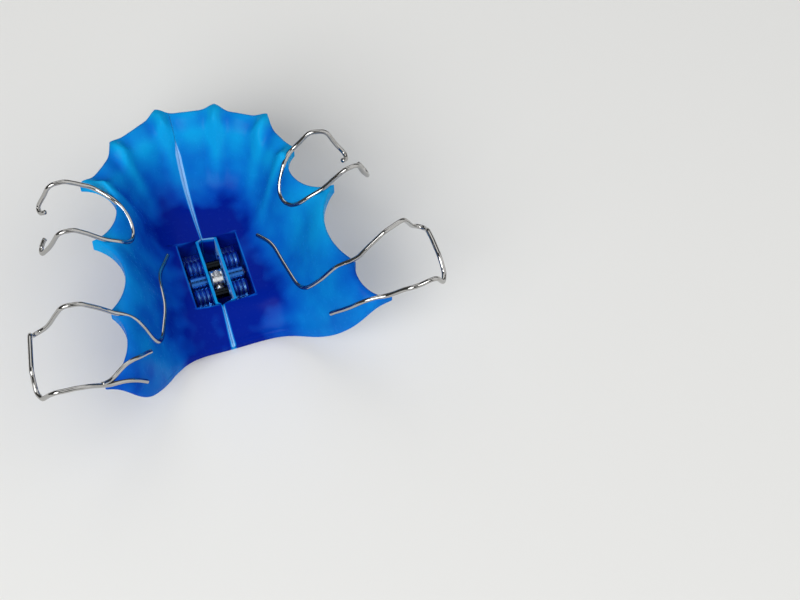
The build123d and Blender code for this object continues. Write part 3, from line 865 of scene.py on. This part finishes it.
def add_piece(name, patches, body, node, materials):
    """Object from grids of points, joined along their common edges, that stands for a node of the
    frame. The last grids take the later materials, and those before them the first."""
    points = np.concatenate([patch.reshape(-1, 3) for patch in patches])
    counts = np.cumsum([0] + [patch.shape[0] * patch.shape[1] for patch in patches])
    quads = [grid_quads(*patch.shape[:2]) + first for patch, first in zip(patches, counts)]
    quads = np.concatenate(quads)
    grids = [[np.linspace(0, 1, count) for count in patch.shape[:2]] for patch in patches]
    shares = [np.stack(np.meshgrid(*grid, indexing="ij"), -1).reshape(-1, 2) for grid in grids]
    shares = np.concatenate(shares)
    mesh = bpy.data.meshes.new(name)
    mesh.vertices.add(len(points))
    mesh.vertices.foreach_set("co", points.ravel())
    mesh.loops.add(quads.size)
    mesh.loops.foreach_set("vertex_index", quads.ravel())
    mesh.polygons.add(len(quads))
    mesh.polygons.foreach_set("loop_start", np.arange(0, quads.size, 4))
    finish = np.maximum(0, np.arange(len(patches)) - len(patches) + len(materials))
    faces = [(patch.shape[0] - 1) * (patch.shape[1] - 1) for patch in patches]
    mesh.polygons.foreach_set("material_index", np.repeat(finish, faces))
    mesh.update(calc_edges=True)
    mesh.uv_layers.new(name="along").data.foreach_set("uv", shares[quads.ravel()].ravel())
    work = bmesh.new()
    work.from_mesh(mesh)
    bmesh.ops.remove_doubles(work, verts=work.verts, dist=MERGE_DISTANCE)
    bmesh.ops.recalc_face_normals(work, faces=work.faces)
    work.to_mesh(mesh)
    work.free()
    mesh.shade_smooth()
    mesh.set_sharp_from_angle(angle=SHARP_ANGLE)
    for material in materials:
        mesh.materials.append(material)
    piece = bpy.data.objects.new(name, mesh)
    bpy.context.scene.collection.objects.link(piece)
    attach(piece, body)
    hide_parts(node)
    return piece


def add_node(tree, kind, inputs, **settings):
    """One shader node with its settings; an input is a value or another node's output."""
    new = tree.nodes.new(kind)
    for name, value in settings.items():
        setattr(new, name, value)
    for name, value in inputs.items():
        if isinstance(value, bpy.types.NodeSocket):
            tree.links.new(value, new.inputs[name])
        else:
            new.inputs[name].default_value = value
    return new


def new_material(name):
    """Material without nodes, and its tree."""
    material = bpy.data.materials.new(name)
    material.use_nodes = True
    material.node_tree.nodes.clear()
    return material, material.node_tree


def depth_colours(plate):
    """Colours of the acrylic from thin to deep: with the depth each channel falls by a power, as
    absorption has it, and the depths are those at which green goes down in even steps."""
    thin, deep = np.maximum(DARKEST, (plate.thin_colour, plate.deep_colour))
    fall = deep[1] / thin[1]
    depth = np.log(1 - np.linspace(0, 1, DEPTH_STEPS) * (1 - fall)) / np.log(fall)
    return thin * (deep / thin) ** depth[:, None]


def acrylic(name, plate, gloss, wave, wave_height):
    """Cold-cured methacrylate, clear blue: deep where it is thick round the screw, and azure where
    it thins towards the edge; its colour share also carries painted highlights and painted shade.
    The powder's pigment clouds it a little, polishing leaves a fine haze, and the finish gives the
    gloss, the length of the surface's waves and their height."""
    material, tree = new_material(name)
    place = add_node(tree, "ShaderNodeTexCoord", {}).outputs["Object"]
    deep = add_node(tree, "ShaderNodeAttribute", {}, attribute_name="deep")
    clouds, waves, haze = (
        add_node(tree, "ShaderNodeTexNoise", {"Vector": place, "Scale": 1 / size, "Detail": detail})
        for size, detail in ((CLOUD_SIZE, 2.0), (wave, 1.5), (HAZE_SIZE, 3.0))
    )
    tone = add_node(
        tree,
        "ShaderNodeMapRange",
        {
            "Value": clouds.outputs["Fac"],
            "From Min": 0.3,
            "From Max": 0.7,
            "To Min": -CLOUD_SHARE,
            "To Max": CLOUD_SHARE,
        },
    )
    share = add_node(
        tree,
        "ShaderNodeMath",
        {0: deep.outputs["Fac"], 1: tone.outputs["Result"]},
        operation="ADD",
        use_clamp=True,
    )
    blue = add_node(tree, "ShaderNodeValToRGB", {"Fac": share.outputs["Value"]})
    for step in range(1, DEPTH_STEPS - 1):
        blue.color_ramp.elements.new(step / (DEPTH_STEPS - 1))
    for element, colour in zip(blue.color_ramp.elements, depth_colours(plate)):
        element.color = colour
    bump = add_node(
        tree,
        "ShaderNodeBump",
        {"Height": waves.outputs["Fac"], "Distance": wave_height, "Strength": 0.5},
    )
    rough = add_node(
        tree,
        "ShaderNodeMapRange",
        {"Value": haze.outputs["Fac"], "To Min": gloss[0], "To Max": gloss[1]},
    )
    shader = add_node(
        tree,
        "ShaderNodeBsdfPrincipled",
        {
            "Base Color": blue.outputs["Color"],
            "Roughness": rough.outputs["Result"],
            "IOR": METHACRYLATE_IOR,
            "Specular IOR Level": 0.012,
            "Transmission Weight": 0.03,
            "Normal": bump.outputs["Normal"],
        },
    )
    add_node(tree, "ShaderNodeOutputMaterial", {"Surface": shader.outputs["BSDF"]})
    return material


def sawn_acrylic(plate):
    """The same methacrylate where a fine saw parted the halves: it is frosted, so it scatters light
    and looks paler, with faint lines along the cut."""
    material, tree = new_material("sawn_methacrylate_frosted_blue")
    place = add_node(tree, "ShaderNodeTexCoord", {}).outputs["Object"]
    lines = add_node(
        tree,
        "ShaderNodeTexWave",
        {"Vector": place, "Scale": WAVE_TURN / SAW_LINES, "Distortion": 1.5, "Detail": 2.0},
        bands_direction="Z",
    )
    bump = add_node(
        tree,
        "ShaderNodeBump",
        {"Height": lines.outputs["Fac"], "Distance": SAW_LINE_HEIGHT, "Strength": 0.6},
    )
    shader = add_node(
        tree,
        "ShaderNodeBsdfPrincipled",
        {
            "Base Color": plate.sawn_colour,
            "Roughness": 0.5,
            "IOR": METHACRYLATE_IOR,
            "Normal": bump.outputs["Normal"],
        },
    )
    add_node(tree, "ShaderNodeOutputMaterial", {"Surface": shader.outputs["BSDF"]})
    return material


def drawn_wire(wire):
    """Spring-hard stainless steel wire, drawn through a die: bright, with faint lines along it."""
    material, tree = new_material("drawn_stainless_steel_wire")
    place = add_node(tree, "ShaderNodeUVMap", {}, uv_map="along").outputs["UV"]
    stretch = add_node(tree, "ShaderNodeMapping", {"Vector": place, "Scale": DIE_LINES})
    lines = add_node(
        tree,
        "ShaderNodeTexNoise",
        {"Vector": stretch.outputs["Vector"], "Scale": 1.0, "Detail": 2.0},
    )
    rough = add_node(
        tree,
        "ShaderNodeMapRange",
        {"Value": lines.outputs["Fac"], "To Min": WIRE_GLOSS[0], "To Max": WIRE_GLOSS[1]},
    )
    shader = add_node(
        tree,
        "ShaderNodeBsdfPrincipled",
        {"Base Color": wire.colour, "Metallic": 1.0, "Roughness": rough.outputs["Result"]},
    )
    add_node(tree, "ShaderNodeOutputMaterial", {"Surface": shader.outputs["BSDF"]})
    return material


def turned_steel(name, colour, gloss, middle_barrel_shade=None):
    """Stainless steel turned or ground: fine rings round the spindle's axis that spread the
    highlights. The bodies' highlights come back blue through clear acrylic; their middle barrels
    take a darker colour as painted shade, and the outer barrels a lighter one as painted highlight."""
    material, tree = new_material(name)
    place = add_node(tree, "ShaderNodeTexCoord", {}).outputs["Object"]
    rings = add_node(
        tree,
        "ShaderNodeTexWave",
        {"Vector": place, "Scale": WAVE_TURN / FEED_MARKS, "Distortion": 0.4, "Detail": 1.0},
        bands_direction="X",
    )
    rough = add_node(
        tree,
        "ShaderNodeMapRange",
        {"Value": rings.outputs["Fac"], "To Min": gloss[0], "To Max": gloss[1]},
    )
    if middle_barrel_shade is not None:
        axes = add_node(tree, "ShaderNodeSeparateXYZ", {"Vector": place})
        aside = add_node(tree, "ShaderNodeMath", {0: axes.outputs["Y"]}, operation="ABSOLUTE")
        outer = add_node(
            tree,
            "ShaderNodeMapRange",
            {"Value": aside.outputs["Value"], "From Min": MIDDLE_BARREL, "From Max": OUTER_BARREL},
        )
        seen = add_node(
            tree,
            "ShaderNodeMix",
            {0: outer.outputs["Result"], "A": middle_barrel_shade, "B": colour},
            data_type="RGBA",
        )
        colour = seen.outputs[2]
    shader = add_node(
        tree,
        "ShaderNodeBsdfPrincipled",
        {"Base Color": colour, "Metallic": 1.0, "Roughness": rough.outputs["Result"]},
    )
    add_node(tree, "ShaderNodeOutputMaterial", {"Surface": shader.outputs["BSDF"]})
    return material


class EXPANDER_OT_plates(bpy.types.Operator):
    """Build the two halves of the acrylic plate"""

    bl_idname = "expander.plates"
    bl_label = "Acrylic plate"

    def execute(self, context):
        plate = context.scene.expander_plate
        finishes = [
            acrylic("felt_polished_methacrylate_clear_blue", plate, *POLISHED),
            acrylic("moulded_methacrylate_clear_blue", plate, *MOULDED),
            sawn_acrylic(plate),
        ]
        for side, sign in (("left", -1), ("right", 1)):
            patches, node = plate_patches(sign, plate), f"{side}_plate"
            piece = add_piece(
                f"{side}_acrylic", patches, f"{side}_half", node, finishes
            )
            mesh = piece.data
            points = np.empty(len(mesh.vertices) * 3)
            mesh.vertices.foreach_get("co", points)
            # The deep attribute holds the acrylic's depth colour together with its painted
            # highlights and painted shade
            share = depth_and_painted_light_share(*points.reshape(-1, 3).T, plate)
            mesh.attributes.new("deep", "FLOAT", "POINT").data.foreach_set("value", share)
            # The slot's ends take the first finish, and with it the deep colour as painted shade,
            # and only its sides and the kerf stay sawn
            count = len(mesh.polygons)
            finish, centres = np.empty(count, np.int32), np.empty(count * 3)
            mesh.polygons.foreach_get("material_index", finish)
            mesh.polygons.foreach_get("center", centres)
            at_end = np.abs(np.abs(centres[1::3]) - plate.slot_half_length) < SLOT_EASE
            below_bevel = centres[2::3] < plate.floor_height - plate.kerf_bevel
            finish[(finish == SAWN) & at_end & below_bevel] = 0
            mesh.polygons.foreach_set("material_index", finish)
        return {"FINISHED"}


class EXPANDER_OT_wires(bpy.types.Operator):
    """Bend the clasps and the spur"""

    bl_idname = "expander.wires"
    bl_label = "Clasp wires"

    def execute(self, context):
        wire = context.scene.expander_wire
        material = drawn_wire(wire)
        runs = {
            "left_molar_clasp": molar_runs(
                -1, EDGE[1], EDGE[0], LEFT_MOLAR_TAG, LEFT_MOLAR_CROSSING, LEFT_MOLAR_HOOK,
                LEFT_BRIDGE_END, LEFT_REAR_TAG, context,
            ),
            "right_molar_clasp": molar_runs(
                1, EDGE[-2], EDGE[-1], RIGHT_MOLAR_TAG, RIGHT_MOLAR_CROSSING, RIGHT_MOLAR_HOOK,
                RIGHT_BRIDGE_END, RIGHT_REAR_TAG, context,
            ),
            "left_front_clasp": front_runs(
                -1, EDGE[3], EDGE[2], LEFT_FRONT_ARM, LEFT_LOOP, LEFT_REAR_ARM, context
            ),
            "right_front_clasp": front_runs(
                1, EDGE[-4], EDGE[-3], RIGHT_FRONT_ARM, RIGHT_LOOP, RIGHT_REAR_ARM, context
            ),
            "left_spur": spur_runs(context),
        }
        for node, run in runs.items():
            body = "left_half" if node.startswith("left") else "right_half"
            depth = wire.loop_depth if "front" in node else wire.tag_depth
            patch = wire_patch(run, depth, context)
            add_piece(f"{node}_wire", [patch], body, node, [material])
        return {"FINISHED"}


class EXPANDER_OT_screw(bpy.types.Operator):
    """Turn the spindle and finish the screw's bodies and pins"""

    bl_idname = "expander.screw"
    bl_label = "Expansion screw"

    def execute(self, context):
        screw = context.scene.expander_screw
        steel = turned_steel("turned_stainless_steel", screw.colour, STEEL_GLOSS)
        pin = turned_steel("ground_stainless_steel_in_shade", screw.pin_colour, STEEL_GLOSS)
        body = turned_steel(
            "turned_stainless_steel_under_clear_acrylic",
            screw.body_tint_and_highlight,
            BODY_GLOSS,
            screw.middle_barrel_shade,
        )
        spindle = [spindle_patch(screw)]
        add_piece("threaded_spindle", spindle, "spindle", "spindle", [steel])
        nodes = {
            "left_screw_body": body,
            "right_screw_body": body,
            "front_guide_pin": pin,
            "rear_guide_pin": pin,
        }
        for node, material in nodes.items():
            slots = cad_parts[node].data.materials
            slots.clear()
            slots.append(material)
        return {"FINISHED"}


class EXPANDER_OT_stage(bpy.types.Operator):
    """Set up the floor, the lights and the camera"""

    bl_idname = "expander.stage"
    bl_label = "Stage"

    def execute(self, context):
        stage = context.scene.expander_stage
        scene = context.scene
        scene.view_settings.view_transform = "Standard"
        low = CAD_BOX[0][2]
        signs = ((-1, -1), (1, -1), (1, 1), (-1, 1))
        mesh = bpy.data.meshes.new("floor")
        mesh.from_pydata(
            [(FLOOR_REACH * x, FLOOR_REACH * y, low) for x, y in signs], [], [(0, 1, 2, 3)]
        )
        # Uncoated paper: matt, with no pattern that shows at this distance
        material, tree = new_material("matt_paper_floor")
        shader = add_node(
            tree,
            "ShaderNodeBsdfPrincipled",
            {"Base Color": stage.floor_colour, "Roughness": 0.8},
        )
        add_node(tree, "ShaderNodeOutputMaterial", {"Surface": shader.outputs["BSDF"]})
        mesh.materials.append(material)
        floor = bpy.data.objects.new("floor", mesh)
        scene.collection.objects.link(floor)

        world = bpy.data.worlds.new("studio")
        world.use_nodes = True
        world.node_tree.nodes.clear()
        sky = add_node(
            world.node_tree,
            "ShaderNodeBackground",
            {"Color": stage.floor_colour, "Strength": stage.world_strength},
        )
        add_node(world.node_tree, "ShaderNodeOutputWorld", {"Surface": sky.outputs["Background"]})
        scene.world = world

        for name, setting, size, place in LAMPS:
            light = bpy.data.lights.new(name, "AREA")
            light.energy = getattr(stage, setting)
            light.size = size
            lamp = bpy.data.objects.new(name, light)
            lamp.location = place
            lamp.rotation_euler = (-Vector(place)).to_track_quat("-Z", "Y").to_euler()
            scene.collection.objects.link(lamp)

        camera = bpy.data.cameras.new("camera")
        camera.lens = CAMERA_LENS
        camera.sensor_width = SENSOR_WIDTH
        camera.clip_start = CLIP_START
        eye = bpy.data.objects.new("camera", camera)
        eye.location = CAMERA_EYE
        eye.rotation_euler = Vector(CAMERA_TARGET - CAMERA_EYE).to_track_quat("-Z", "Y").to_euler()
        scene.collection.objects.link(eye)
        scene.camera = eye
        return {"FINISHED"}


class EXPANDER_PT_panel(bpy.types.Panel):
    """Sizes and colours of the expander, and the steps that build it"""

    bl_label = "Palatal expander"
    bl_space_type = "VIEW_3D"
    bl_region_type = "UI"
    bl_category = "Expander"

    def draw(self, context):
        for group, operator in STEPS.items():
            box = self.layout.box()
            settings = getattr(context.scene, group)
            for name in settings.__annotations__:
                box.prop(settings, name)
            box.operator(operator.bl_idname)


STEPS = {
    "expander_plate": EXPANDER_OT_plates,
    "expander_wire": EXPANDER_OT_wires,
    "expander_screw": EXPANDER_OT_screw,
    "expander_stage": EXPANDER_OT_stage,
}
GROUPS = {
    "expander_plate": PlateSettings,
    "expander_wire": WireSettings,
    "expander_screw": ScrewSettings,
    "expander_stage": StageSettings,
}


def register():
    """Register the settings, the operators and the panel."""
    for group, settings in GROUPS.items():
        bpy.utils.register_class(settings)
        setattr(bpy.types.Scene, group, PointerProperty(type=settings))
    for operator in STEPS.values():
        bpy.utils.register_class(operator)
    bpy.utils.register_class(EXPANDER_PT_panel)


def unregister():
    """Take back what register did, the other way round."""
    bpy.utils.unregister_class(EXPANDER_PT_panel)
    for operator in STEPS.values():
        bpy.utils.unregister_class(operator)
    for group, settings in GROUPS.items():
        delattr(bpy.types.Scene, group)
        bpy.utils.unregister_class(settings)


def main():
    """Build everything in order."""
    register()
    bpy.ops.expander.plates()
    bpy.ops.expander.wires()
    bpy.ops.expander.screw()
    bpy.ops.expander.stage()


if __name__ == "__main__":
    main()
